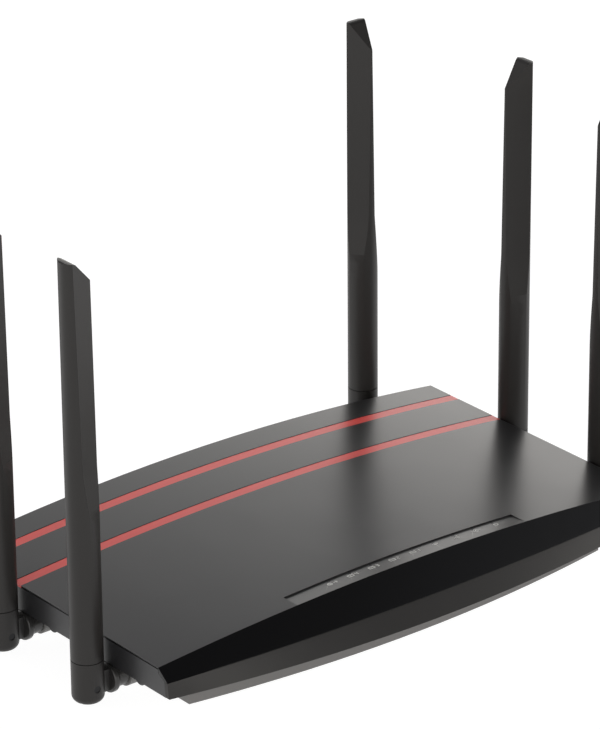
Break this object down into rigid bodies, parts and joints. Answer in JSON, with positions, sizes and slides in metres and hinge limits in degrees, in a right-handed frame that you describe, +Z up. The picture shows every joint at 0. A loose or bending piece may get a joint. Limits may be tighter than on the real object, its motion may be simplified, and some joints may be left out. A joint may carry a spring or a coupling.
{
  "type": "wireless router",
  "caption": "Wide low casing with an arched top, two coloured bands and a row of indicators, with folding rod aerials on swivels at its sides and rear.",
  "frame": {"origin": "centre of the bounding box at the table surface the feet stand on", "axes": "+X along the width to the right when facing the indicators, +Y from the bowed front to the sockets at the rear, +Z up"},
  "size_m": [0.28, 0.1779, 0.194],
  "materials": {
    "cover_plastic": "satin",
    "lens_plastic": "gloss",
    "fascia_plastic": "satin",
    "red_plastic": "satin",
    "base_plastic": "fine texture",
    "antenna_plastic": "satin",
    "hinge_plastic": "satin",
    "foot_rubber": "matte",
    "screw_steel": "blackened",
    "pin_metal": "plain",
    "board_laminate": "solder mask",
    "card_laminate": "solder mask",
    "chip_resin": "matte",
    "shield_metal": "plain",
    "heat_sink_metal": "anodised",
    "capacitor_metal": "plain",
    "socket_plastic": "moulded",
    "led_plastic": "clear moulding",
    "guide_plastic": "clear moulding",
    "button_plastic": "moulded",
    "lead_jacket": "extruded",
    "plug_metal": "plain"
  },
  "bodies": {
    "casing": {"top_cover": "cover_plastic", "front_lens": "lens_plastic", "front_fascia": "fascia_plastic", "rear_red_strip": "red_plastic", "front_red_strip": "red_plastic", "bottom_case": "base_plastic", "rubber_feet": "foot_rubber", "case_screws": "screw_steel", "board_screws": "screw_steel", "main_board": "board_laminate", "router_chip": "chip_resin", "memory_chips": "chip_resin", "shield_cans": "shield_metal", "line_transformers": "chip_resin", "heat_sink": "heat_sink_metal", "capacitors": "capacitor_metal", "modem_socket": "socket_plastic", "modem_card": "card_laminate", "status_leds": "led_plastic", "light_guide": "guide_plastic", "lan_sockets": "socket_plastic", "wan_socket": "socket_plastic", "power_socket": "socket_plastic", "power_pin": "pin_metal", "sim_socket": "shield_metal", "reset_switch": "chip_resin", "antenna_leads": "lead_jacket", "lead_plugs": "plug_metal"},
    "left_front_antenna_base": {"left_front_antenna_knuckle": "hinge_plastic"},
    "left_front_antenna_blade": {"left_front_antenna_hinge_pin": "pin_metal", "left_front_antenna_sleeve": "antenna_plastic", "left_front_antenna_radome": "antenna_plastic", "left_front_antenna_element": "plug_metal"},
    "left_rear_antenna_base": {"left_rear_antenna_knuckle": "hinge_plastic"},
    "left_rear_antenna_blade": {"left_rear_antenna_hinge_pin": "pin_metal", "left_rear_antenna_sleeve": "antenna_plastic", "left_rear_antenna_radome": "antenna_plastic", "left_rear_antenna_element": "plug_metal"},
    "right_front_antenna_base": {"right_front_antenna_knuckle": "hinge_plastic"},
    "right_front_antenna_blade": {"right_front_antenna_hinge_pin": "pin_metal", "right_front_antenna_sleeve": "antenna_plastic", "right_front_antenna_radome": "antenna_plastic", "right_front_antenna_element": "plug_metal"},
    "right_rear_antenna_base": {"right_rear_antenna_knuckle": "hinge_plastic"},
    "right_rear_antenna_blade": {"right_rear_antenna_hinge_pin": "pin_metal", "right_rear_antenna_sleeve": "antenna_plastic", "right_rear_antenna_radome": "antenna_plastic", "right_rear_antenna_element": "plug_metal"},
    "back_antenna_base": {"back_antenna_knuckle": "hinge_plastic"},
    "back_antenna_blade": {"back_antenna_hinge_pin": "pin_metal", "back_antenna_sleeve": "antenna_plastic", "back_antenna_radome": "antenna_plastic", "back_antenna_element": "plug_metal"},
    "reset": {"reset_button": "button_plastic"}
  },
  "joints": [
    {"name": "left_front_antenna_swivel", "type": "hinge", "parent": "casing", "child": "left_front_antenna_base", "pos_m": [-0.1335, -0.0353, 0.0087], "axis": [1, 0, 0], "range_deg": [-6, 90]},
    {"name": "left_front_antenna_fold", "type": "hinge", "parent": "left_front_antenna_base", "child": "left_front_antenna_blade", "pos_m": [-0.1335, -0.0353, 0.0087], "axis": [0, -1, 0], "range_deg": [0, 90]},
    {"name": "left_rear_antenna_swivel", "type": "hinge", "parent": "casing", "child": "left_rear_antenna_base", "pos_m": [-0.1335, 0.0219, 0.0087], "axis": [-1, 0, 0], "range_deg": [-6, 90]},
    {"name": "left_rear_antenna_fold", "type": "hinge", "parent": "left_rear_antenna_base", "child": "left_rear_antenna_blade", "pos_m": [-0.1335, 0.0219, 0.0087], "axis": [0, -1, 0], "range_deg": [0, 90]},
    {"name": "right_front_antenna_swivel", "type": "hinge", "parent": "casing", "child": "right_front_antenna_base", "pos_m": [0.1335, -0.0353, 0.0087], "axis": [1, 0, 0], "range_deg": [-6, 90]},
    {"name": "right_front_antenna_fold", "type": "hinge", "parent": "right_front_antenna_base", "child": "right_front_antenna_blade", "pos_m": [0.1335, -0.0353, 0.0087], "axis": [0, 1, 0], "range_deg": [0, 90]},
    {"name": "right_rear_antenna_swivel", "type": "hinge", "parent": "casing", "child": "right_rear_antenna_base", "pos_m": [0.1335, 0.0219, 0.0087], "axis": [-1, 0, 0], "range_deg": [-6, 90]},
    {"name": "right_rear_antenna_fold", "type": "hinge", "parent": "right_rear_antenna_base", "child": "right_rear_antenna_blade", "pos_m": [0.1335, 0.0219, 0.0087], "axis": [0, 1, 0], "range_deg": [0, 90]},
    {"name": "back_antenna_swivel", "type": "hinge", "parent": "casing", "child": "back_antenna_base", "pos_m": [0.1, 0.08245, 0.01705], "axis": [0, 1, 0], "range_deg": [-90, 90]},
    {"name": "back_antenna_fold", "type": "hinge", "parent": "back_antenna_base", "child": "back_antenna_blade", "pos_m": [0.1, 0.08245, 0.01705], "axis": [-1, 0, 0], "range_deg": [0, 90]},
    {"name": "reset_press", "type": "slide", "parent": "casing", "child": "reset", "axis": [0, -1, 0], "range_m": [0, 0.0008], "stiffness_N_per_m": 700, "springref_m": -0.0004}
  ]
}
